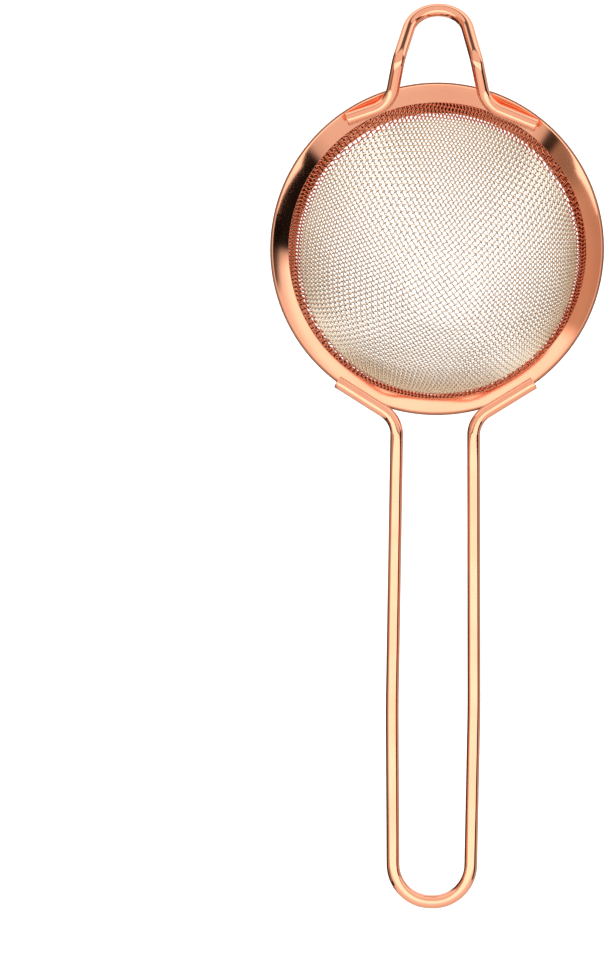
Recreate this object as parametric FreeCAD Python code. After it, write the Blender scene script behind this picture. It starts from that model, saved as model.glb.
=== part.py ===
import FreeCAD, Part
import math
import os

# Conical fine-mesh strainer with a wire handle and a wire hook. Millimetres.
# The origin is the centre of the rim, level with the top of its fold. +Z is up, out of the bowl's mouth.
# The handle runs along -Y, the hook along +Y. "Left" is the -X side.

V = FreeCAD.Vector
UP = V(0, 0, 1)
LEFT = -1
RIGHT = 1

# Rim band: a strip of sheet rolled to a funnel and folded over tightly at its outer edge.
rim_radius = 41.5
band_slope = 40.0              # of the upper leaf: degrees above level, rising outwards
band_sheet = 0.35
fold_bore = 0.1                # inside radius of the fold
hem_opening = 18.0             # degrees by which the lower leaf is steeper, to make room for the mesh
upper_leaf = 4.65              # width of the face that is seen from above
lower_leaf = 9.9               # width of the leaf under the mesh
crown_radius = 48.0            # the upper leaf bulges slightly along its width

# Mesh bowl: a disc of woven wire pressed to a round-tipped, bullet-shaped cone.
mesh_thickness = 0.8           # a plain weave is two wires thick
bowl_depth = 58.0              # from the top of the rim to the tip, outside
tip_radius = 17.0
wall_slope = 78.0              # degrees from level where the wall is steepest, just below the skirt
shoulder_radius = 2.5          # where the skirt turns down into the wall
skirt_run_out = 0.2            # straight skirt that shows below the lower leaf
skirt_start = 2.4              # from the middle of the fold to the skirt's edge
skirt_edge_thickness = 0.5     # the skirt's edge is crushed in the hem

# Handle: one wire bent to a long U.
handle_wire = 3.2
handle_overhang = 121.0        # from the rim to the outside of the end bend
handle_contact_angle = 32.0    # where each foot is tangent to the rim, from the handle's middle line
handle_seat_inset = 0.25       # from the rim's outside in to the line of each foot
handle_foot_end = 2.8          # foot left beyond the point of contact
neck_half_width = 9.45
neck_bend = 6.8
belly_half_width = 10.05
belly_bend = 400.0
belly_share = 0.6              # how far along the legs the handle is widest
end_half_width = 9.4
end_flat = 0.4                 # straight left between the two halves of the end bend

# Hook: one wire bent to an arch and kinked.
hook_wire = 3.2
hook_corner_half_width = 11.9
hook_corner_inset = 0.55       # each foot's inner end, out from the edge of the upper leaf
hook_foot_rise = 1.85          # each foot's outer end, out from the same edge
hook_left_spread = 35.5        # where the feet end, in degrees from the hook's middle line
hook_right_spread = 39.0
hook_bend = 6.8
kink_half_width = 9.55
kink_overhang = 4.0            # beyond the rim
kink_bend = 3.0
leg_clearance = 0.03           # between each leg and the fold that it passes over, at least
arch_droop = 25.0              # degrees below level, past the kink
arch_length = 15.7             # along its own plane
arch_radius = 7.5

# Welds that hold the wires to the band.
weld_gap = 0.15                # metal between wire and band
weld_bead = 0.8
handle_weld_length = 9.0
hook_weld_length = 9.0
weld_inset = 1.2               # from the wire's cut end

# Lines that more than one piece is built on.
slope = math.radians(band_slope)
seat_slope = band_slope + hem_opening
outward = V(math.cos(math.radians(seat_slope)), 0, math.sin(math.radians(seat_slope)))
off_seat = V(-outward.z, 0, outward.x)
fold_radius = fold_bore + band_sheet
fold_centre = V(rim_radius - fold_radius, 0, -fold_radius)
crown_sweep = math.degrees(math.asin(upper_leaf / 2 / crown_radius))
crown_height = crown_radius * (1 - math.cos(math.radians(crown_sweep)))


def polar(centre, radius, degrees):
    """A point of the section plane, at an angle from level about a centre."""
    angle = math.radians(degrees)
    return centre + V(math.cos(angle), 0, math.sin(angle)) * radius


def hem_point(depth, height):
    """A point of the section, down the lower leaf's slope from the fold's centre, and square to that leaf."""
    return fold_centre - outward * depth + off_seat * height


crown_centre = polar(fold_centre, fold_radius - crown_radius, 90 + band_slope - crown_sweep)
lip = polar(crown_centre, crown_radius, 90 + band_slope + crown_sweep)


def line(start, end):
    return Part.LineSegment(start, end).toShape()


def arc(centre, radius, from_degrees, to_degrees):
    """An arc of the section plane about a centre."""
    ends = polar(centre, radius, from_degrees), polar(centre, radius, to_degrees)
    middle = polar(centre, radius, (from_degrees + to_degrees) / 2)
    return Part.Arc(ends[0], middle, ends[1]).toShape()


def revolved(edges):
    """A solid of revolution about the strainer's axis, from the closed outline of its section."""
    ordered = Part.__sortEdges__(edges)
    section = Part.Face(Part.Wire(ordered))
    return section.revolve(V(0, 0, 0), UP, 360)


def rounded_cut(upper, lower, along):
    """The deburred edge of a sheet: half a circle between its two faces."""
    middle = (upper + lower) / 2 + along * (band_sheet / 2)
    return Part.Arc(upper, middle, lower).toShape()


def rim_band():
    first = 90 + band_slope - crown_sweep
    last = 90 + band_slope + crown_sweep
    under = seat_slope - 90
    inner_radius = crown_radius - band_sheet
    lip_direction = V(math.cos(math.radians(last + 90)), 0, math.sin(math.radians(last + 90)))
    lower_inside = hem_point(lower_leaf, -fold_bore)
    lower_outside = hem_point(lower_leaf, -fold_radius)
    return revolved([
        arc(crown_centre, crown_radius, first, last),
        rounded_cut(lip, polar(crown_centre, inner_radius, last), lip_direction),
        arc(crown_centre, inner_radius, last, first),
        arc(fold_centre, fold_bore, first, under),
        line(hem_point(0, -fold_bore), lower_inside),
        rounded_cut(lower_inside, lower_outside, -outward),
        line(lower_outside, hem_point(0, -fold_radius)),
        arc(fold_centre, fold_radius, under, first),
    ])


def solid_hem():
    """The band's outside with its inside filled, so that a weld can be trimmed to the band's surface."""
    first = 90 + band_slope - crown_sweep
    under_end = hem_point(lower_leaf, -fold_radius)
    return revolved([
        arc(crown_centre, crown_radius, first, 90 + band_slope + crown_sweep),
        line(lip, under_end),
        line(under_end, hem_point(0, -fold_radius)),
        arc(fold_centre, fold_radius, seat_slope - 90, first),
    ])


def mesh_bowl():
    """The cloth's outside envelope. Its skirt lies on the lower leaf, inside the fold."""
    bend_start = lower_leaf + skirt_run_out
    shoulder_centre = hem_point(bend_start, -shoulder_radius)
    wall_top = polar(shoulder_centre, shoulder_radius, 90 + wall_slope)
    under = -fold_bore
    over = under + mesh_thickness
    skirt_over = under + skirt_edge_thickness
    tip_centre = V(0, 0, tip_radius - under - bowl_depth)
    inward = polar(V(0, 0, 0), 1, 90 + wall_slope)
    span = wall_top - tip_centre
    wall_radius = (tip_radius ** 2 - span.dot(span)) / (2 * (inward.dot(span) + tip_radius))
    wall_centre = wall_top + inward * wall_radius
    meeting = math.degrees(math.atan2(tip_centre.z - wall_centre.z, tip_centre.x - wall_centre.x))

    def face(height, skirt_height):
        """One face of the cloth: the straight skirt, the shoulder, the wall that bulges a little, and the tip."""
        skirt = line(hem_point(skirt_start, skirt_height), hem_point(bend_start, height))
        shoulder = arc(shoulder_centre, shoulder_radius + height, 90 + seat_slope, 90 + wall_slope)
        wall = arc(wall_centre, wall_radius - height, wall_slope - 90, meeting)
        tip = arc(tip_centre, tip_radius - height, meeting, -90)
        return [skirt, shoulder, wall, tip]

    skirt_edge = line(hem_point(skirt_start, skirt_over), hem_point(skirt_start, under))
    on_axis = line(polar(tip_centre, tip_radius - over, -90), polar(tip_centre, tip_radius - under, -90))
    return revolved(face(over, skirt_over) + face(under, under) + [skirt_edge, on_axis])


def bent_wire(corners, bends, diameter):
    """A round wire along straight runs joined by tangent arcs. Its ends are cut square."""
    edges = []
    start = corners[0]
    for before, corner, after, bend in zip(corners, corners[1:], corners[2:], bends):
        back = (before - corner).normalize()
        ahead = (after - corner).normalize()
        half_turn = (math.pi - back.getAngle(ahead)) / 2
        reach = bend * math.tan(half_turn)
        inside = (back + ahead).normalize()
        middle = corner + inside * (bend / math.cos(half_turn) - bend)
        edges.append(line(start, corner + back * reach))
        edges.append(Part.Arc(corner + back * reach, middle, corner + ahead * reach).toShape())
        start = corner + ahead * reach
    edges.append(line(start, corners[-1]))
    route = Part.Wire(edges)
    section = Part.Wire(Part.makeCircle(diameter / 2, corners[0], corners[1] - corners[0]))
    return route.makePipeShell([section], True, True)


def mirrored(point):
    return V(-point.x, point.y, point.z)


def handle_foot():
    """The ends of the left foot: its cut end, and the neck's corner."""
    level = weld_gap + handle_wire / 2
    angle = math.radians(handle_contact_angle)
    seat = rim_radius - handle_seat_inset
    contact = V(-seat * math.sin(angle), -seat * math.cos(angle), level)
    along = V(math.cos(angle), -math.sin(angle), 0)
    to_neck = (-neck_half_width - contact.x) / along.x
    return contact - along * handle_foot_end, contact + along * to_neck


def handle():
    foot, neck = handle_foot()
    end_y = -(rim_radius + handle_overhang - handle_wire / 2)
    belly = V(-belly_half_width, neck.y + (end_y - neck.y) * belly_share, neck.z)
    end = V(-end_half_width, end_y, neck.z)
    left = [foot, neck, belly, end]
    right = [mirrored(point) for point in reversed(left)]
    end_bend = end_half_width - end_flat / 2
    bends = [neck_bend, belly_bend, end_bend, end_bend, belly_bend, neck_bend]
    return bent_wire(left + right, bends, handle_wire)


def on_band(radius, degrees):
    """Where the middle of the hook's wire is when it lies on the band, by angle from the hook's middle line."""
    standoff = (hook_wire / 2 + crown_height + weld_gap) / math.cos(slope)
    angle = math.radians(degrees)
    level = lip.z + (radius - lip.x) * math.tan(slope) + standoff
    return V(radius * math.sin(angle), radius * math.cos(angle), level)


def hook_foot(side, spread):
    """The ends of one foot: its cut end, and the corner where the leg turns outwards."""
    corner_radius = lip.x + hook_corner_inset
    corner_angle = math.degrees(math.asin(hook_corner_half_width / corner_radius))
    return on_band(lip.x + hook_foot_rise, side * spread), on_band(corner_radius, side * corner_angle)


def kink_level(corner, kink):
    """The height at which a leg ends if it climbs from its corner so that it just clears the fold."""
    start = math.hypot(corner.x, corner.y)
    run = fold_centre.x - start
    drop = fold_centre.z - corner.z
    clear = fold_radius + hook_wire / 2 + leg_clearance
    rise = math.atan2(drop, run) + math.asin(clear / math.hypot(run, drop))
    return corner.z + (math.hypot(kink.x, kink.y) - start) * math.tan(rise)


def hook():
    left_foot, left_corner = hook_foot(LEFT, hook_left_spread)
    right_foot, right_corner = hook_foot(RIGHT, hook_right_spread)
    left_kink = V(-kink_half_width, rim_radius + kink_overhang, 0)
    left_kink.z = kink_level(left_corner, left_kink)
    to_centre = arch_length - arch_radius
    taper = math.atan2(kink_half_width, to_centre)
    taper -= math.asin(arch_radius / math.hypot(kink_half_width, to_centre))
    to_peak = kink_half_width / math.tan(taper)
    droop = math.radians(arch_droop)
    peak = V(0, left_kink.y + to_peak * math.cos(droop), left_kink.z - to_peak * math.sin(droop))
    corners = [left_foot, left_corner, left_kink, peak, mirrored(left_kink), right_corner, right_foot]
    return bent_wire(corners, [hook_bend, kink_bend, arch_radius, kink_bend, hook_bend], hook_wire)


def weld(foot, corner, length, to_seat, wire):
    """The metal between a foot and the band: a short bead, less what it joins."""
    along = (corner - foot).normalize()
    start = foot + along * weld_inset + to_seat
    end = start + along * length
    bead = Part.makeCylinder(weld_bead, length, start, along)
    for tip in (start, end):
        bead = bead.fuse(Part.makeSphere(weld_bead, tip))
    return bead.removeSplitter().cut(wire).cut(solid_hem())


def handle_weld(side, wire):
    foot, neck = handle_foot()
    if side == RIGHT:
        foot, neck = mirrored(foot), mirrored(neck)
    to_seat = V(0, 0, -(handle_wire + weld_gap) / 2)
    return weld(foot, neck, handle_weld_length, to_seat, wire)


def hook_weld(side, spread, wire):
    foot, corner = hook_foot(side, spread)
    middle = (foot + corner) / 2
    towards_axis = V(-middle.x, -middle.y, 0).normalize()
    off_face = towards_axis * math.sin(slope) + UP * math.cos(slope)
    to_seat = off_face * -(hook_wire / 2 + weld_gap + crown_height)
    return weld(foot, corner, hook_weld_length, to_seat, wire)


def build():
    handle_piece = handle()
    hook_piece = hook()
    nodes = {
        "rim_band": rim_band(),
        "mesh_bowl": mesh_bowl(),
        "handle_wire": handle_piece,
        "hook_wire": hook_piece,
        "handle_weld_left": handle_weld(LEFT, handle_piece),
        "handle_weld_right": handle_weld(RIGHT, handle_piece),
        "hook_weld_left": hook_weld(LEFT, hook_left_spread, hook_piece),
        "hook_weld_right": hook_weld(RIGHT, hook_right_spread, hook_piece),
    }
    os.makedirs("parts", exist_ok=True)
    for name, shape in nodes.items():
        print(name, "solids", len(shape.Solids), "valid", shape.isValid(), "mm3", round(shape.Volume, 1))
        shape.exportStep(f"parts/{name}.step")


build()
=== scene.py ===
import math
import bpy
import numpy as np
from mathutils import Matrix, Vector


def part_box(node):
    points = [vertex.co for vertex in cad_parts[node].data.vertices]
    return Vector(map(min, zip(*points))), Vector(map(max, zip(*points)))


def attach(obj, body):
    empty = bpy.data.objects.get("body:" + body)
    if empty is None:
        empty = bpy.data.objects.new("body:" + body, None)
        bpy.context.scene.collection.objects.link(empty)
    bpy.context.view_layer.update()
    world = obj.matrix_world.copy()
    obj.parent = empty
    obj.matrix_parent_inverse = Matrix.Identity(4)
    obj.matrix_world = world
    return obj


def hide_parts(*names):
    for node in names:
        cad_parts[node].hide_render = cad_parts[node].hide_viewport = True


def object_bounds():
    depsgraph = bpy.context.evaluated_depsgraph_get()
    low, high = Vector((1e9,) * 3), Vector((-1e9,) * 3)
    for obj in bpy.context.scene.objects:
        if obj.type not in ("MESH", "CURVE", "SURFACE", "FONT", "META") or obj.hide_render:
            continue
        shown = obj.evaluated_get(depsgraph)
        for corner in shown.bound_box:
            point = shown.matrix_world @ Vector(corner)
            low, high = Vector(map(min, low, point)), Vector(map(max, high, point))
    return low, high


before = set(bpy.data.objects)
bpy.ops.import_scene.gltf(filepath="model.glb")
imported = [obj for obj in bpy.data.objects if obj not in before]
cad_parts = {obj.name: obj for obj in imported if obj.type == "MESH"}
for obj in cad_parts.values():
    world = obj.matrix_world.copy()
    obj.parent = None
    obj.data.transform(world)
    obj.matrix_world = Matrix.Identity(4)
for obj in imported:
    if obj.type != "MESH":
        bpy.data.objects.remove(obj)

# %% [markdown]
# # A fine-mesh strainer in copper plate
# The frame above is the strainer's engineering model, in metres. Every piece built here stands for one of
# its nodes and rides on its only body, because on the real strainer everything is welded or clamped. The
# box around the model is kept now; the floor is set below it.

cad_box = [list(corner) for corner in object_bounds()]
print("CAD box in mm:", [[round(1000 * value, 1) for value in corner] for corner in cad_box])

# %% [markdown]
# ## Driving sizes
# The pieces are worked out in millimetres and turned into metres when a mesh is made. Overall sizes are
# read from the frame. The others are the strainer's own: gauges of wire and sheet, slopes, and bend
# radii.

# %% Sizes read from the frame
MM = 0.001


def reach(node):
    """The lowest and highest corner of a CAD node, in millimetres."""
    return [np.array(corner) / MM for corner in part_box(node)]


rim_radius = reach("rim_band")[1][0]
bowl_depth = -reach("mesh_bowl")[0][2]
handle_end = -reach("handle_wire")[0][1]
for label, size in (("rim radius", rim_radius), ("bowl depth", bowl_depth), ("handle end", handle_end)):
    print(label, round(size, 2), "mm")

# %% Sizes of the band and the cloth
band_slope = math.radians(40)
seat_slope = math.radians(58)
band_sheet = 0.35
upper_leaf = 4.65
lower_leaf = 9.9
crown_radius = 48.0
fold_bore = 0.1
fold_radius = fold_bore + band_sheet
fold_centre = np.array([rim_radius - fold_radius, -fold_radius])
cloth_wire = 0.4
pitch_warp = 1.39
pitch_weft = 1.44

# %% [markdown]
# ## Meshes from numpy
# Every piece is a grid of points bent into shape: rings along a wire, or sections round the axis. One
# helper turns points and faces into an object with a UV layer that says how far round and how far along
# each corner is. The finishes read that layer, so their lines follow the wire wherever it bends.

# %% One helper that makes an object
def make_piece(name, points, quads, uv=None, caps=()):
    """A smooth mesh object from points in mm, an (n, 4) array of quads, and closing polygons."""
    mesh = bpy.data.meshes.new(name)
    quads = np.asarray(quads, np.int32)
    cap_lengths = [len(cap) for cap in caps]
    loops = np.concatenate([quads.ravel()] + [np.asarray(cap, np.int32) for cap in caps])
    totals = np.concatenate([np.full(len(quads), 4), np.array(cap_lengths, int)]).astype(np.int32)
    starts = np.concatenate([[0], np.cumsum(totals)[:-1]]).astype(np.int32)
    mesh.vertices.add(len(points))
    mesh.vertices.foreach_set("co", (np.asarray(points) * MM).astype(np.float32).ravel())
    mesh.loops.add(len(loops))
    mesh.loops.foreach_set("vertex_index", loops)
    mesh.polygons.add(len(totals))
    mesh.polygons.foreach_set("loop_start", starts)
    mesh.polygons.foreach_set("loop_total", totals)
    mesh.polygons.foreach_set("use_smooth", np.ones(len(totals), bool))
    mesh.update(calc_edges=True)
    if uv is not None:
        layer = mesh.uv_layers.new(name="lay")
        flat = np.zeros((len(loops), 2), np.float32)
        flat[:len(uv)] = uv
        layer.data.foreach_set("uv", flat.ravel())
    piece = bpy.data.objects.new(name, mesh)
    bpy.context.scene.collection.objects.link(piece)
    return piece


def stand_for(piece, node):
    """The piece rides on the strainer's one body and stands for a CAD node, which is hidden."""
    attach(piece, "root")
    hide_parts(node)
    return piece


# %% [markdown]
# ## Sections of the band and the cloth
# Both are surfaces of revolution. Their section is a chain of straight runs and arcs, so a section is
# built by adding runs and arcs one after another, and each is sampled finely enough for a smooth
# reflection.

# %% Arcs and runs of a section
def polar(centre, radius, angle):
    """A point of the section at an angle from level."""
    return np.asarray(centre) + radius * np.array([math.cos(angle), math.sin(angle)])


def arc(centre, radius, start, end, steps):
    """Points of an arc, from one angle to another."""
    return [polar(centre, radius, angle) for angle in np.linspace(start, end, steps)]


def run(start, end, steps):
    """Points of a straight run."""
    return list(np.linspace(start, end, steps))


down_seat = -np.array([math.cos(seat_slope), math.sin(seat_slope)])
off_seat = np.array([-math.sin(seat_slope), math.cos(seat_slope)])


def hem_point(depth, height):
    """A point down the lower leaf's slope from the fold's centre, and square to that leaf."""
    return fold_centre + down_seat * depth + off_seat * height


# %% [markdown]
# ## Rim band
# A strip of sheet is rolled into a funnel and hemmed: its outer edge is folded back tightly, and the two
# leaves hold the cloth between them. The upper leaf is the bright face that is seen from above. It bulges
# a little, as rolled sheet does, and that spreads the reflection along the face. The lower leaf is
# steeper and longer, and shows as a dark collar behind the cloth.

# %% The section of the band
crown_sweep = math.asin(upper_leaf / 2 / crown_radius)
first = math.pi / 2 + band_slope - crown_sweep
last = math.pi / 2 + band_slope + crown_sweep
crown_centre = polar(fold_centre, fold_radius - crown_radius, first)
lip = polar(crown_centre, crown_radius, last)


def round_edge(upper, lower, steps=9):
    """The deburred edge of the sheet, half a circle from its upper face to its lower one."""
    middle = (upper + lower) / 2
    start = math.atan2(*(upper - middle)[::-1])
    return arc(middle, band_sheet / 2, start, start + math.pi, steps)[1:-1]


inner = crown_radius - band_sheet
under = seat_slope - math.pi / 2
band_section = arc(crown_centre, crown_radius, first, last, 30)
band_section += round_edge(lip, polar(crown_centre, inner, last))
band_section += arc(crown_centre, inner, last, first, 12)
band_section += arc(fold_centre, fold_bore, first, under, 14)[1:]
band_section += run(hem_point(0, -fold_bore), hem_point(lower_leaf, -fold_bore), 8)[1:]
band_section += round_edge(hem_point(lower_leaf, -fold_bore), hem_point(lower_leaf, -fold_radius))
band_section += run(hem_point(lower_leaf, -fold_radius), hem_point(0, -fold_radius), 16)
band_section += arc(fold_centre, fold_radius, under, first, 30)[1:-1]
print("points round the band's section:", len(band_section))


# %% Turn the section round the axis
def lathe(name, section, segments):
    """A closed section turned round the strainer's axis."""
    section = np.array(section)
    count = len(section)
    angle = np.linspace(0, 2 * math.pi, segments, endpoint=False)[:, None]
    radius = section[:, 0]
    points = np.stack([np.cos(angle) * radius, np.sin(angle) * radius, 0 * angle + section[:, 1]], -1)
    ring, place = np.meshgrid(np.arange(segments), np.arange(count), indexing="ij")
    ring, place = ring.ravel(), place.ravel()
    ahead, beside = (ring + 1) % segments, (place + 1) % count
    here, there = ring * count, ahead * count
    quads = np.stack([here + place, here + beside, there + beside, there + place], 1)
    return make_piece(name, points.reshape(-1, 3), quads)


steps_round_rim = 640
rim_band = lathe("rim_band_folded_sheet", band_section, steps_round_rim)
stand_for(rim_band, "rim_band")
print("rim band faces:", len(rim_band.data.polygons))

# %% [markdown]
# ## Bent wire
# The handle and the hook are each one round wire bent on a former. The middle line is straight runs
# joined by tangent arcs. A ring of points is carried along it without twisting, and the cut ends are
# lightly deburred. The swept wire is thinner than its gauge by a hair, so that no facet stands proud of
# the CAD model.

# %% The middle line of a bent wire
hair = 0.01


def bent_line(corners, bends, step):
    """Points and directions along straight runs joined by tangent arcs."""
    corners = [np.array(corner, float) for corner in corners]
    points, directions = [], []

    def straight(start, end):
        length = np.linalg.norm(end - start)
        share = np.linspace(0, 1, max(2, int(length / (4 * step)) + 1))
        points.extend(start + (end - start) * s for s in share)
        directions.extend([(end - start) / length] * len(share))

    start = corners[0]
    for before, corner, after, bend in zip(corners, corners[1:], corners[2:], bends):
        arriving = (corner - before) / np.linalg.norm(corner - before)
        leaving = (after - corner) / np.linalg.norm(after - corner)
        turn = math.acos(np.clip(arriving @ leaving, -1, 1))
        reach_back = bend * math.tan(turn / 2)
        straight(start, corner - arriving * reach_back)
        side = leaving - arriving * (arriving @ leaving)
        side /= np.linalg.norm(side)
        centre = corner - arriving * reach_back + side * bend
        for angle in np.linspace(0, turn, max(4, int(bend * turn / step)) + 1)[1:-1]:
            points.append(centre + bend * (arriving * math.sin(angle) - side * math.cos(angle)))
            directions.append(arriving * math.cos(angle) + side * math.sin(angle))
        start = corner + leaving * reach_back
    straight(start, corners[-1])
    return np.array(points), np.array(directions)


# %% Carry a ring along the line
def swept_wire(name, points, directions, diameter, sides=48, deburr=0.25):
    """A round wire along a line, with lightly rounded cut ends."""
    normal = np.cross(directions[0], [0.0, 0.0, 1.0])
    normals = []
    for direction in directions:
        normal = normal - direction * (normal @ direction)
        normal /= np.linalg.norm(normal)
        normals.append(normal)
    corner = np.radians([90, 60, 30, 0])[:, None]
    inset = deburr * (1 - np.sin(corner))
    first_end = points[0] + directions[0] * inset
    last_end = (points[-1] - directions[-1] * inset)[::-1]
    stations = np.vstack([first_end, points[1:-1], last_end])
    end_radii = diameter / 2 - deburr * (1 - np.cos(corner[:, 0]))
    between = len(points) - 2
    radii = np.concatenate([end_radii, np.full(between, diameter / 2), end_radii[::-1]])
    repeats = np.concatenate([[len(corner)], np.ones(between, int), [len(corner)]])
    across = np.repeat(normals, repeats, axis=0)
    along = np.repeat(directions, repeats, axis=0)
    third = np.cross(along, across)
    angle = np.linspace(0, 2 * math.pi, sides, endpoint=False)
    ring = across[:, None] * np.cos(angle)[None, :, None] + third[:, None] * np.sin(angle)[None, :, None]
    verts = stations[:, None] + ring * radii[:, None, None]
    length = np.concatenate([[0], np.cumsum(np.linalg.norm(np.diff(stations, axis=0), axis=1))])
    count = len(stations)
    row, column = np.meshgrid(np.arange(count - 1), np.arange(sides), indexing="ij")
    row, column = row.ravel(), column.ravel()
    beside = (column + 1) % sides
    here, there = row * sides, (row + 1) * sides
    quads = np.stack([here + column, here + beside, there + beside, there + column], 1)
    share = np.stack([column, column + 1, column + 1, column], 1) / sides
    place = np.stack([length[row], length[row], length[row + 1], length[row + 1]], 1)
    uv = np.stack([share, place], -1).reshape(-1, 2)
    caps = [np.arange(sides)[::-1], (count - 1) * sides + np.arange(sides)]
    return make_piece(name, verts.reshape(-1, 3), quads, uv, caps)


# %% [markdown]
# ## Handle
# One wire bent to a long U whose legs bow outwards very slightly. Each foot is tangent to the rim, lies
# on top of the fold, and is welded there. The middle line is set out for the left leg and mirrored to the
# right one.

# %% Set out and sweep the handle
handle_wire = 3.2
weld_gap = 0.15
level = weld_gap + handle_wire / 2
contact_angle = math.radians(32)
seat_inset = 0.25
seat = rim_radius - seat_inset
contact = np.array([-seat * math.sin(contact_angle), -seat * math.cos(contact_angle), level])
foot_line = np.array([math.cos(contact_angle), -math.sin(contact_angle), 0.0])
foot_end = 2.8
neck_half_width = 9.45
neck_bend = 6.8
foot = contact - foot_line * foot_end
neck = contact + foot_line * (-neck_half_width - contact[0]) / foot_line[0]
end_y = -handle_end + handle_wire / 2
end_half_width = 9.4
belly_half_width = 10.05
belly_bend = 400.0
belly_share = 0.6
belly = np.array([-belly_half_width, neck[1] + (end_y - neck[1]) * belly_share, level])
end = np.array([-end_half_width, end_y, level])
mirror = np.array([-1.0, 1.0, 1.0])
left_leg = [foot, neck, belly, end]
handle_corners = left_leg + [corner * mirror for corner in reversed(left_leg)]
half_end_flat = 0.2
end_bend = end_half_width - half_end_flat
handle_bends = [neck_bend, belly_bend, end_bend, end_bend, belly_bend, neck_bend]
handle_line = bent_line(handle_corners, handle_bends, 0.35)
handle = swept_wire("handle_bent_wire", *handle_line, handle_wire - hair)
stand_for(handle, "handle_wire")
print("handle rings:", len(handle_line[0]), "faces:", len(handle.data.polygons))

# %% [markdown]
# ## Hook
# The second wire lies on the face of the band at each side, turns outwards, climbs over the fold, is
# kinked down and closes in an arch. Dropped over the far lip of a shaker, the kink holds the strainer
# level.

# %% Set out and sweep the hook
hook_wire = 3.2
hook_bend = 6.8
corner_inset = 0.55
corner_half_width = 11.9
foot_rise = 1.85
left_spread = 35.5
right_spread = 39.0
crown_height = crown_radius * (1 - math.cos(crown_sweep))
standoff = (hook_wire / 2 + crown_height + weld_gap) / math.cos(band_slope)


def on_band(radius, angle):
    """Where the middle of the hook's wire is when it lies on the band, by angle from the +Y direction."""
    height = lip[1] + (radius - lip[0]) * math.tan(band_slope) + standoff
    return np.array([radius * math.sin(angle), radius * math.cos(angle), height])


def hook_foot(side, spread):
    """The cut end of one foot, and the corner where its leg turns outwards."""
    corner_radius = lip[0] + corner_inset
    corner_angle = math.asin(corner_half_width / corner_radius)
    cut_end = on_band(lip[0] + foot_rise, side * math.radians(spread))
    return cut_end, on_band(corner_radius, side * corner_angle)


left_foot, left_corner = hook_foot(-1, left_spread)
right_foot, right_corner = hook_foot(1, right_spread)
kink_half_width = 9.55
kink_overhang = 4.0
kink_bend = 3.0
leg_clearance = 0.03
left_kink = np.array([-kink_half_width, rim_radius + kink_overhang, 0.0])
corner_reach = math.hypot(left_corner[0], left_corner[1])
gap = fold_radius + hook_wire / 2 + leg_clearance
run_to_fold = fold_centre[0] - corner_reach
drop_to_fold = fold_centre[1] - left_corner[2]
rise = math.atan2(drop_to_fold, run_to_fold) + math.asin(gap / math.hypot(run_to_fold, drop_to_fold))
left_kink[2] = left_corner[2] + (math.hypot(left_kink[0], left_kink[1]) - corner_reach) * math.tan(rise)
arch_radius = 7.5
arch_length = 15.7
to_centre = arch_length - arch_radius
kink_to_centre = math.hypot(kink_half_width, to_centre)
taper = math.atan2(kink_half_width, to_centre) - math.asin(arch_radius / kink_to_centre)
to_peak = kink_half_width / math.tan(taper)
droop = math.radians(25)
peak = np.array([0.0, left_kink[1] + to_peak * math.cos(droop), left_kink[2] - to_peak * math.sin(droop)])
hook_corners = [left_foot, left_corner, left_kink, peak, left_kink * mirror, right_corner, right_foot]
hook_bends = [hook_bend, kink_bend, arch_radius, kink_bend, hook_bend]
hook_line = bent_line(hook_corners, hook_bends, 0.3)
hook = swept_wire("hook_bent_wire", *hook_line, hook_wire - hair)
stand_for(hook, "hook_wire")
print("hook rings:", len(hook_line[0]), "faces:", len(hook.data.polygons))

# %% [markdown]
# ## The shape of the bowl
# A flat disc of cloth is pressed over a former: a round tip, a wall that gets steeper towards the rim,
# and a skirt that lies between the band's two leaves. The section is again arcs and runs. Read as height
# against radius, it says where every wire of the cloth has to lie. It runs on past the skirt's edge, so
# that the drape has crossings there to work from. The wires themselves stop at the edge.

# %% The section of the bowl, as height against radius
tip_radius = 17.0
wall_slope = math.radians(78)
shoulder_radius = 2.5
skirt_run_out = 0.2
skirt_edge = 3.4
past_the_skirt = 12
skirt_end = lower_leaf + skirt_run_out
mid_cloth = cloth_wire - fold_bore
tip_centre = np.array([0.0, tip_radius + fold_bore - bowl_depth])
shoulder_centre = hem_point(skirt_end, -shoulder_radius)
wall_top = polar(shoulder_centre, shoulder_radius, math.pi / 2 + wall_slope)
inward = polar([0, 0], 1, math.pi / 2 + wall_slope)
span = wall_top - tip_centre
wall_radius = (tip_radius ** 2 - span @ span) / (2 * (inward @ span + tip_radius))
wall_centre = wall_top + inward * wall_radius
meeting = math.atan2(*(tip_centre - wall_centre)[::-1])
bowl_section = arc(tip_centre, tip_radius - mid_cloth, -math.pi / 2, meeting, 400)
bowl_section += arc(wall_centre, wall_radius - mid_cloth, meeting, wall_slope - math.pi / 2, 900)[1:]
wall_side, seat_side = math.pi / 2 + wall_slope, math.pi / 2 + seat_slope
bowl_section += arc(shoulder_centre, shoulder_radius + mid_cloth, wall_side, seat_side, 80)[1:]
bowl_section += run(hem_point(skirt_end, mid_cloth), hem_point(skirt_edge, mid_cloth), 200)[1:]
bowl_section = np.array(bowl_section)
skirt_radius = bowl_section[-1, 0]
bowl_section = np.vstack([bowl_section, bowl_section[-1] - down_seat * past_the_skirt])
meridian = np.concatenate([[0], np.cumsum(np.hypot(*np.diff(bowl_section, axis=0).T))])


def height_at(radius):
    return np.interp(radius, bowl_section[:, 0], bowl_section[:, 1])


def slope_at(radius):
    return (height_at(radius + 0.02) - height_at(radius - 0.02)) / 0.04


print("wall radius", round(wall_radius, 1), "mm")
print("from tip to skirt along the cloth", round(meridian[-2], 1), "mm")

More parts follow.
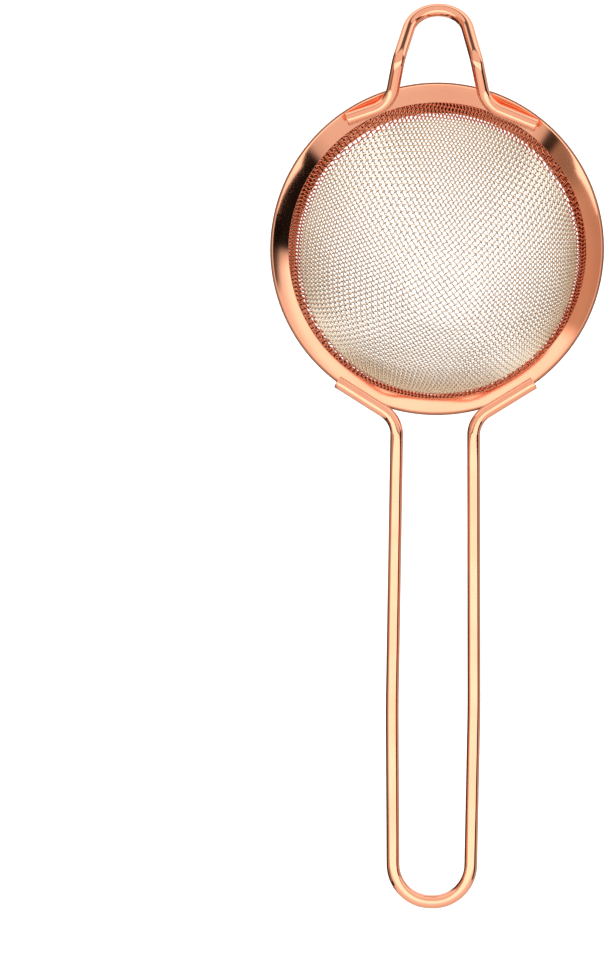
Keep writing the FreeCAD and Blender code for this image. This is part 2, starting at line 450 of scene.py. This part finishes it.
# %% [markdown]
# ## How woven cloth drapes
# Woven wire can't stretch along its wires, but its square cells can shear to diamonds. That fixes the
# drape: every crossing is one pitch from the crossing before it on both of its wires. Two wires run
# straight up the wall from the tip, and all the other crossings follow from these, found one diagonal at
# a time by Newton's method. One quarter is enough, because the other three mirror it.

# %% Find the crossings of one quarter
newton_rounds = 9
longest_move = 1.2


def drape(count):
    """Crossings [i, j] of one quarter: i pitches along one straight wire and j along the other."""
    crossing = np.zeros((count, count, 3))
    for axis, pitch in ((0, pitch_warp), (1, pitch_weft)):
        radius = np.interp(np.arange(count) * pitch, meridian, bowl_section[:, 0])
        edge = crossing[:, 0] if axis == 0 else crossing[0]
        edge[:, axis] = radius
        edge[:, 2] = height_at(radius)
    for diagonal in range(2, 2 * count - 1):
        i = np.arange(max(1, diagonal - count + 1), min(count, diagonal))
        j = diagonal - i
        below, beside, behind = crossing[i, j - 1], crossing[i - 1, j], crossing[i - 1, j - 1]
        place = (below + beside - behind)[:, :2]
        for _ in range(newton_rounds):
            radius = np.maximum(np.hypot(*place.T), 1e-6)
            slope = (slope_at(radius) / radius)[:, None] * place
            point = np.column_stack([place, height_at(radius)])
            to_beside, to_below = point - beside, point - below
            miss_a = (to_beside ** 2).sum(1) - pitch_warp ** 2
            miss_b = (to_below ** 2).sum(1) - pitch_weft ** 2
            row_a = 2 * (to_beside[:, :2] + to_beside[:, 2:] * slope)
            row_b = 2 * (to_below[:, :2] + to_below[:, 2:] * slope)
            det = row_a[:, 0] * row_b[:, 1] - row_a[:, 1] * row_b[:, 0]
            det = np.where(np.abs(det) < 1e-9, 1e-9, det)
            move = np.stack([miss_a * row_b[:, 1] - miss_b * row_a[:, 1],
                             miss_b * row_a[:, 0] - miss_a * row_b[:, 0]], 1) / det[:, None]
            length = np.maximum(np.hypot(*move.T), 1e-9)
            place = place - move * np.minimum(1, longest_move / length)[:, None]
        crossing[i, j] = np.column_stack([place, height_at(np.hypot(*place.T))])
    return crossing


half_count = 58
quarter = drape(half_count)
inside_skirt = np.hypot(quarter[..., 0], quarter[..., 1]) < skirt_radius
print("crossings in a quarter that lie inside the skirt:", int(inside_skirt.sum()))

# %% Mirror the quarter, and turn the weave to its angle
weave_turn = math.radians(35.5)
middle = half_count - 1
wire_count = 2 * half_count - 1
net = np.zeros((wire_count, wire_count, 3))
for side_i in (1, -1):
    for side_j in (1, -1):
        i = middle + side_i * np.arange(half_count)[:, None]
        j = middle + side_j * np.arange(half_count)[None, :]
        net[i, j] = quarter * np.array([side_i, side_j, 1.0])
east, north = net[..., 0].copy(), net[..., 1].copy()
net[..., 0] = east * math.cos(weave_turn) - north * math.sin(weave_turn)
net[..., 1] = east * math.sin(weave_turn) + north * math.cos(weave_turn)

# %% [markdown]
# ## Wires of the cloth
# In plain weave every wire passes over one neighbour and under the next. Between crossings it follows a
# wave as deep as the wire is thick, square to the cloth. Warp and weft are two sets of separate wires,
# and each set is split across the middle only to keep every mesh a handy size. The pressed tip isn't
# quite on the axis, and the crossings stray a little, as they do in real cloth.

# %% Sweep all the wires of one set
cloth_lean = np.array([1.4, -3.3])
cloth_stray = 0.05
steps_per_pitch = 4
sides = 6
fewest_crossings = 4


def surface_normal(points):
    """The direction square to the bowl, pointing into it."""
    radius = np.maximum(np.hypot(points[..., 0], points[..., 1]), 1e-6)
    slope = slope_at(radius)
    outward = points[..., :2] / radius[..., None]
    normal = np.concatenate([-outward * slope[..., None], np.ones_like(slope)[..., None]], -1)
    return normal / np.linalg.norm(normal, axis=-1, keepdims=True)


def smooth_path(row):
    """Points between the crossings of one wire, on a curve through them all."""
    count = len(row)
    place = np.arange(0, (count - 1) * steps_per_pitch + 1) / steps_per_pitch
    base = np.clip(place.astype(int), 0, count - 2)
    t = (place - base)[:, None]
    previous, following = row[np.maximum(base - 1, 0)], row[np.minimum(base + 2, count - 1)]
    here, ahead = row[base], row[base + 1]
    bend = 2 * previous - 5 * here + 4 * ahead - following
    twist = 3 * here - previous - 3 * ahead + following
    return place, 0.5 * (2 * here + (ahead - previous) * t + bend * t ** 2 + twist * t ** 3)


def stray(points):
    """How far the cloth is pushed sideways in its own surface: slow waves in two directions."""
    x, y = points[:, 0], points[:, 1]
    east = np.sin(0.71 * x + 0.9 * np.sin(0.33 * y)) + np.sin(1.9 * y + 0.5 * x + 1.0)
    north = np.sin(0.83 * y + 0.8 * np.sin(0.41 * x)) + np.sin(2.1 * x - 0.4 * y + 2.0)
    return cloth_stray * np.stack([east, north], -1)


def cloth_wires(name, rows, lift_sign):
    """One mesh of many crimped wires, each swept with a light ring."""
    all_points, all_quads, all_uv = [], [], []
    offset = 0
    angle = np.linspace(0, 2 * math.pi, sides, endpoint=False)
    cosine, sine = np.cos(angle)[None, :, None], np.sin(angle)[None, :, None]
    for number, row in rows:
        held = np.flatnonzero(np.hypot(row[:, 0], row[:, 1]) < skirt_radius)
        if len(held) < fewest_crossings:
            continue
        start, stop = held[0], held[-1] + 1
        place, line = smooth_path(row[start:stop])
        normal = surface_normal(line)
        crimp = lift_sign * cloth_wire / 2 * np.cos(math.pi * (place + start + number))
        depth = np.clip((line[:, 2] - lip[1]) / (-bowl_depth - lip[1]), 0, 1)
        line = line + normal * crimp[:, None]
        line[:, :2] += cloth_lean * depth[:, None] + stray(line) * depth[:, None] ** 0.5
        along = np.gradient(line, axis=0)
        along /= np.linalg.norm(along, axis=1, keepdims=True)
        across = np.cross(along, normal)
        across /= np.linalg.norm(across, axis=1, keepdims=True)
        upward = np.cross(across, along)
        verts = line[:, None] + (across[:, None] * cosine + upward[:, None] * sine) * cloth_wire / 2
        count = len(line)
        r, c = np.meshgrid(np.arange(count - 1), np.arange(sides), indexing="ij")
        r, c = r.ravel(), c.ravel()
        n = (c + 1) % sides
        here, there = offset + r * sides, offset + (r + 1) * sides
        all_quads.append(np.stack([here + c, here + n, there + n, there + c], 1))
        u = np.stack([c, c + 1, c + 1, c], 1) / sides
        v = place[np.stack([r, r, r + 1, r + 1], 1)] + start + number + (1 + lift_sign) / 2
        all_uv.append(np.stack([u, v], -1).reshape(-1, 2))
        all_points.append(verts.reshape(-1, 3))
        offset += count * sides
    joined = [np.concatenate(part) for part in (all_points, all_quads, all_uv)]
    piece = make_piece(name, *joined)
    print(name, "wires:", len(all_points), "faces:", len(piece.data.polygons))
    return stand_for(piece, "mesh_bowl")


warp_rows = [(j, net[:, j]) for j in range(wire_count)]
weft_rows = [(i, net[i]) for i in range(wire_count)]
cloth = [
    cloth_wires("mesh_warp_wires_near", warp_rows[:middle], 1),
    cloth_wires("mesh_warp_wires_far", warp_rows[middle:], 1),
    cloth_wires("mesh_weft_wires_near", weft_rows[:middle], -1),
    cloth_wires("mesh_weft_wires_far", weft_rows[middle:], -1),
]

# %% [markdown]
# ## Shader nodes as sums
# A finish is worked out from a few numbers that change over the surface. This class wraps one socket of a
# node tree, so that ordinary Python sums add the Math nodes, and one method adds any other node.

# %% A socket that can be added and multiplied
class Lay:
    """One output socket of a node tree."""

    def __init__(self, tree, socket=None):
        self.tree = tree
        self.socket = socket

    def add(self, kind, settings, sockets, output=0):
        """Adds a node: its settings first, then the values or links of its sockets."""
        node = self.tree.nodes.new("ShaderNode" + kind)
        for name, value in settings.items():
            setattr(node, name, value)
        for name, value in sockets.items():
            if isinstance(value, Lay):
                self.tree.links.new(value.socket, node.inputs[name])
            else:
                node.inputs[name].default_value = value
        return Lay(self.tree, node.outputs[output]) if node.outputs else None

    def math(self, operation, *values):
        return self.add("Math", {"operation": operation}, dict(enumerate(values)))

    def __add__(self, other):
        return self.math("ADD", self, other)

    __radd__ = __add__

    def __sub__(self, other):
        return self.math("SUBTRACT", self, other)

    def __rsub__(self, other):
        return self.math("SUBTRACT", other, self)

    def __mul__(self, other):
        return self.math("MULTIPLY", self, other)

    __rmul__ = __mul__

    def part(self, axis):
        """One coordinate of a vector."""
        return self.add("SeparateXYZ", {}, {0: self}, axis)

    def ramp(self, low, high, start=0.0, end=1.0):
        """A soft step from start to end while this value goes from low to high."""
        sockets = {0: self, 1: low, 2: high, 3: start, 4: end}
        return self.add("MapRange", {"interpolation_type": "SMOOTHSTEP"}, sockets)

    def vector(self, x, y, z):
        return self.add("CombineXYZ", {}, {0: x, 1: y, 2: z})

    def noise(self, where, scale, detail=2.0, roughness=0.5):
        sockets = {"Vector": where, "Scale": scale, "Detail": detail, "Roughness": roughness}
        return self.add("TexNoise", {}, sockets)

    def blend(self, share, colour_a, colour_b):
        return self.add("Mix", {"data_type": "RGBA"}, {0: share, 6: colour_a, 7: colour_b}, 2)

    def bump(self, height, distance, strength=1.0):
        return self.add("Bump", {}, {"Height": height, "Distance": distance, "Strength": strength})


def new_finish(name):
    """An empty metal: its Lay starting point and its Principled shader."""
    material = bpy.data.materials.new(name)
    material.use_nodes = True
    material.node_tree.nodes.clear()
    lay = Lay(material.node_tree)
    shader = lay.add("BsdfPrincipled", {}, {"Metallic": 1.0})
    lay.add("OutputMaterial", {}, {"Surface": shader})
    return material, lay, shader.socket.node


def feed(lay, shader, **sockets):
    """Connects worked-out values to a shader's sockets, whose names have spaces for underscores."""
    for name, value in sockets.items():
        lay.tree.links.new(value.socket, shader.inputs[name.replace("_", " ")])


# %% [markdown]
# ## Copper plate
# Band, wires and welds share one colour, a bright rosy copper. It isn't quite even: plating is a little
# thicker and redder in some places. The band's fold carries painted shade in dark brown. The cloth has
# colours of its own: it is pale and warmer towards the rim, with painted shade, deep red by the hem and
# dark where a wire dips under another.

# %% The shared colour of the plate
copper = (0.955, 0.44, 0.275, 1)
copper_rosy = (0.94, 0.39, 0.24, 1)
copper_deep = (0.80, 0.27, 0.15, 1)
# painted shade for the outer edge of the band's fold
fold_shade_brown = (0.20, 0.07, 0.03, 1)
cloth_pale = (0.99, 0.87, 0.76, 1)
cloth_warm = (1.0, 0.85, 0.67, 1)
# painted shade for the crossings of the cloth
crossing_shade_colour = (0.05, 0.03, 0.02, 1)


def plate_colour(lay, where, scale):
    """Copper that drifts slowly towards a rosier tone."""
    drift = lay.noise(where, scale, 3.0).ramp(0.35, 0.7)
    return lay.blend(drift, copper, copper_rosy)


# %% Finish of the wires: drawn, then polished
drawing_scale = 9
drawing_stretch = 0.02


def wire_finish():
    material, lay, shader = new_finish("polished copper wire")
    where = lay.add("TexCoord", {}, {}, "Object")
    laid = lay.add("UVMap", {"uv_map": "lay"}, {})
    round_angle = laid.part(0) * (2 * math.pi)
    along = laid.part(1)
    cosine, sine = round_angle.math("COSINE", round_angle), round_angle.math("SINE", round_angle)
    ring = lay.vector(cosine * drawing_scale, sine * drawing_scale, along * drawing_stretch)
    drawing = lay.noise(ring, 6.0, 4.0, 0.6)
    haze = lay.noise(where, 90.0, 3.0)
    roughness = 0.03 + haze * 0.04 + drawing * 0.02
    normal = lay.bump(drawing, 0.000004, 0.25)
    feed(lay, shader, Base_Color=plate_colour(lay, where, 60.0), Roughness=roughness, Normal=normal)
    return material


# %% Finish of the band: rolled sheet, polished round and round, with painted shade in dark brown along the fold
fold_shade_starts = (rim_radius - 0.62) * MM
fold_shade_full = (rim_radius - 0.38) * MM


def sheet_finish():
    material, lay, shader = new_finish("polished copper sheet")
    where = lay.add("TexCoord", {}, {}, "Object")
    x, y, z = where.part(0), where.part(1), where.part(2)
    radius = (x * x + y * y).math("SQRT", x * x + y * y)
    slow = lay.noise(where, 30.0, 2.0)
    fold_shade_mask = radius.ramp(fold_shade_starts, fold_shade_full)
    turning = lay.vector(radius * (1 / MM) + slow * 0.6, z * (1 / MM), slow * 0.4)
    lines = lay.noise(turning, 9.0, 5.0, 0.65)
    roughness = 0.04 + lay.noise(where, 60.0, 3.0) * 0.05 + lines * 0.04
    normal = lay.bump(lines, 0.000005, 0.3)
    # Painted shade: the outer edge of the fold is coloured dark brown. This draws a thin dark outline
    # round the band where the rounded fold would otherwise show a highlight.
    colour = lay.blend(fold_shade_mask * 0.85, plate_colour(lay, where, 40.0), fold_shade_brown)
    feed(lay, shader, Base_Color=colour, Roughness=roughness + fold_shade_mask * 0.2, Normal=normal)
    return material


# %% Finish of the cloth: pale and warmer towards the rim, with painted shade, deep red by the hem and dark where a wire dips under another
# heights in mm over which the painted shade by the hem comes in
hem_shade_from, hem_shade_to = -10.2, -8.5
near_hem_from, near_hem_to = -40.0, -10.0


def cloth_finish():
    material, lay, shader = new_finish("copper plated cloth wire")
    where = lay.add("TexCoord", {}, {}, "Object")
    laid = lay.add("UVMap", {"uv_map": "lay"}, {})
    half_turn = laid.part(1) * math.pi
    dip = half_turn.math("COSINE", half_turn)
    patchy = lay.noise(where, 350.0, 3.0)
    height = where.part(2) * (1 / MM)
    hem_shade = height.ramp(hem_shade_from, hem_shade_to)
    near_hem = height.ramp(near_hem_from, near_hem_to)
    colour = lay.blend(near_hem, cloth_pale, cloth_warm)
    # Painted shade: where the cloth lies against the band's lower leaf, it is coloured a deep red.
    colour = lay.blend(hem_shade, colour, copper_deep)
    # Painted shade: the wire turns nearly black where it dips under the wire it crosses.
    crossing_shade = dip.ramp(0.4, 0.75) * (0.8 + patchy * 0.4)
    colour = lay.blend(crossing_shade, colour, crossing_shade_colour)
    roughness = 0.2 + lay.noise(where, 250.0, 2.0) * 0.1
    feed(lay, shader, Base_Color=colour, Roughness=roughness)
    return material


# %% Finish of the welds
def weld_finish():
    material, lay, shader = new_finish("copper plated weld")
    where = lay.add("TexCoord", {}, {}, "Object")
    ripples = lay.noise(where, 1400.0, 3.0, 0.55)
    deep = ripples.ramp(0.4, 0.7) * 0.6
    colour = lay.blend(deep, plate_colour(lay, where, 60.0), copper_deep)
    roughness = 0.2 + ripples * 0.15
    normal = lay.bump(ripples, 0.0001, 0.5)
    feed(lay, shader, Base_Color=colour, Roughness=roughness, Normal=normal)
    return material


def dress(piece, material):
    piece.data.materials.clear()
    piece.data.materials.append(material)


wire_copper = wire_finish()
dress(handle, wire_copper)
dress(hook, wire_copper)
dress(rim_band, sheet_finish())
cloth_copper = cloth_finish()
for piece in cloth:
    dress(piece, cloth_copper)
weld_copper = weld_finish()
for node in ("handle_weld_left", "handle_weld_right", "hook_weld_left", "hook_weld_right"):
    dress(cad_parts[node], weld_copper)
print("finishes:", sorted(material.name for material in bpy.data.materials))

# %% [markdown]
# ## Studio
# Polished metal looks like what surrounds it, so the studio is the finish's other half. It is a white
# tent whose roof is brighter than its walls, with a glow low down all round, a black flag at the right, a
# dark strip at the lower left and a warm tint on the left wall. Below the table's level it is darker at
# the left and the right, which draws the thin dark outlines of the wires.

# %% The tent
world = bpy.data.worlds.new("studio tent")
world.use_nodes = True
world.node_tree.nodes.clear()
bpy.context.scene.world = world
sky = Lay(world.node_tree)
facing = sky.add("TexCoord", {}, {}, "Generated")
east, north, up = facing.part(0), facing.part(1), facing.part(2)
azimuth = north.math("ARCTAN2", north, east)


def lobe(low, high, soft):
    """One between two azimuths in degrees, and nothing outside them. The edges are soft."""
    rising = azimuth.ramp(math.radians(low - soft), math.radians(low + soft))
    return rising * azimuth.ramp(math.radians(high - soft), math.radians(high + soft), 1.0, 0.0)


# The walls, with the glow along their foot, and what stands before them.
far_side = lobe(14, 141, 4)
near_side = lobe(-140, -34, 7)
left_side = 1 - far_side - lobe(-140, 14, 5)
wall = 0.57 + far_side * 0.4 + near_side * 0.33
glow = 0.85 + far_side * 0.8 + near_side * 0.1 - left_side * 0.2
glowing = up.ramp(0.17, 0.30, 1.0, 0.0)
wall = wall * (1 - glowing) + glow * glowing
flag = lobe(-31, 10, 2) * up.ramp(-0.04, 0.05)
upper_flag = lobe(0, 24, 4) * up.ramp(0.27, 0.33)
strip = lobe(-147, -141, 1.5)
shade = lobe(-164, -145, 8)
wall = wall * (1 - flag * 0.985) * (1 - upper_flag * 0.9) * (1 - strip * 0.94) * (1 - shade * 0.45)

# The roof, and the dark seam where it meets the far wall.
overhead = 1.05 + up.ramp(0.6, 0.9) * 0.2
far_seam = lobe(40, 140, 15) * up.ramp(0.34, 0.40) * up.ramp(0.46, 0.52, 1.0, 0.0)
high = up.ramp(0.43, 0.54)
brightness = (wall * (1 - high) + overhead * high) * (1 - far_seam * 0.85)

# Everything below the table's level.
left_dark = lobe(-181, -135, 8) + lobe(135, 181, 8)
right_dark = lobe(-40, 40, 10)
below = 0.8 + far_side * 0.2 - left_dark * 0.72 - right_dark * 0.25
above_table = up.ramp(-0.14, -0.02)
brightness = below * (1 - above_table) + brightness * above_table
white_light = (1.0, 0.99, 0.975, 1)
warm_light = (1.0, 0.82, 0.66, 1)
tint = sky.blend(left_side * (1 - high), white_light, warm_light)
background = sky.add("Background", {}, {"Color": tint, "Strength": brightness})
sky.add("OutputWorld", {}, {"Surface": background})

# %% [markdown]
# ## Lights over the table
# A long soft box hangs 30 cm over the handle's half of the table, and a duller one over the hook's half. A
# dark card fills the narrow gap between them. The bright one makes the highlights of the handle. They are
# flat cards that the camera doesn't see.

# %% The three cards
card_height = 0.3
white_light_at_ends = tuple(0.93 * channel for channel in white_light[:3]) + (1,)


def soft_box(name, west, east, south, north, strength):
    """A glowing card over the rim, a little duller towards its ends. The sizes are in metres."""
    outline = [(west, south), (west, north), (east, north), (east, south)]
    corners = [(x, y, card_height) for x, y in outline]
    mesh = bpy.data.meshes.new(name)
    mesh.from_pydata(corners, [], [(0, 1, 2, 3)])
    card = bpy.data.objects.new(name, mesh)
    bpy.context.scene.collection.objects.link(card)
    material = bpy.data.materials.new(name)
    material.use_nodes = True
    material.node_tree.nodes.clear()
    lay = Lay(material.node_tree)
    across = lay.add("TexCoord", {}, {}, "Object").part(0)
    colour = lay.blend((across * across).ramp(0.0, 0.6), white_light, white_light_at_ends)
    emission = lay.add("Emission", {}, {"Color": colour, "Strength": strength})
    lay.add("OutputMaterial", {}, {"Surface": emission})
    dress(card, material)
    card.visible_camera = False


soft_box("soft box over the handle", west=-0.75, east=0.62, south=-0.26, north=-0.022, strength=1.95)
soft_box("soft box over the hook", west=-0.55, east=0.55, south=-0.008, north=0.55, strength=0.95)
soft_box("gap between the soft boxes", west=-0.55, east=0.55, south=-0.022, north=-0.008, strength=0.03)

# %% [markdown]
# ## Floor
# A plain pale floor far enough below the bowl that no shadow gathers under it. It glows a little, which
# keeps it white. The metal doesn't reflect it, so the tent and the cards alone shape the reflections.

# %% The floor
floor_drop = 0.30
floor_size = 6.0
bpy.ops.mesh.primitive_plane_add(size=floor_size, location=(0, 0, cad_box[0][2] - floor_drop))
floor = bpy.context.object
floor.name = "floor"
floor.visible_glossy = False
floor_material, lay, shader = new_finish("pale floor")
shader.inputs["Metallic"].default_value = 0.0
shader.inputs["Base Color"].default_value = (0.93, 0.93, 0.93, 1)
shader.inputs["Roughness"].default_value = 0.9
shader.inputs["Emission Color"].default_value = (1, 1, 1, 1)
shader.inputs["Emission Strength"].default_value = 0.4
dress(floor, floor_material)

# %% [markdown]
# ## Camera
# The camera looks straight down on the mouth of the bowl from about 43 cm, a hand's breadth towards the
# handle. The strainer stands right of the middle of the view, which is a shift of the lens.

# %% The camera
camera_data = bpy.data.cameras.new("camera")
camera = bpy.data.objects.new("camera", camera_data)
bpy.context.scene.collection.objects.link(camera)
camera.location = (0.00996, -0.06944, 0.430)
tilt = Matrix.Identity(3)
for turn, axis in ((-0.007, "Z"), (-0.022, "Y"), (-0.027, "X")):
    tilt = tilt @ Matrix.Rotation(turn, 3, axis)
camera.rotation_euler = tilt.transposed().to_euler()
camera_data.sensor_width = 36.0
camera_data.lens = 65.1
camera_data.shift_x = -0.1377
camera_data.clip_start = 0.01
camera_data.clip_end = 20.0
bpy.context.scene.camera = camera
bpy.context.scene.view_settings.view_transform = "Standard"
print("camera at", [round(value, 3) for value in camera.location])
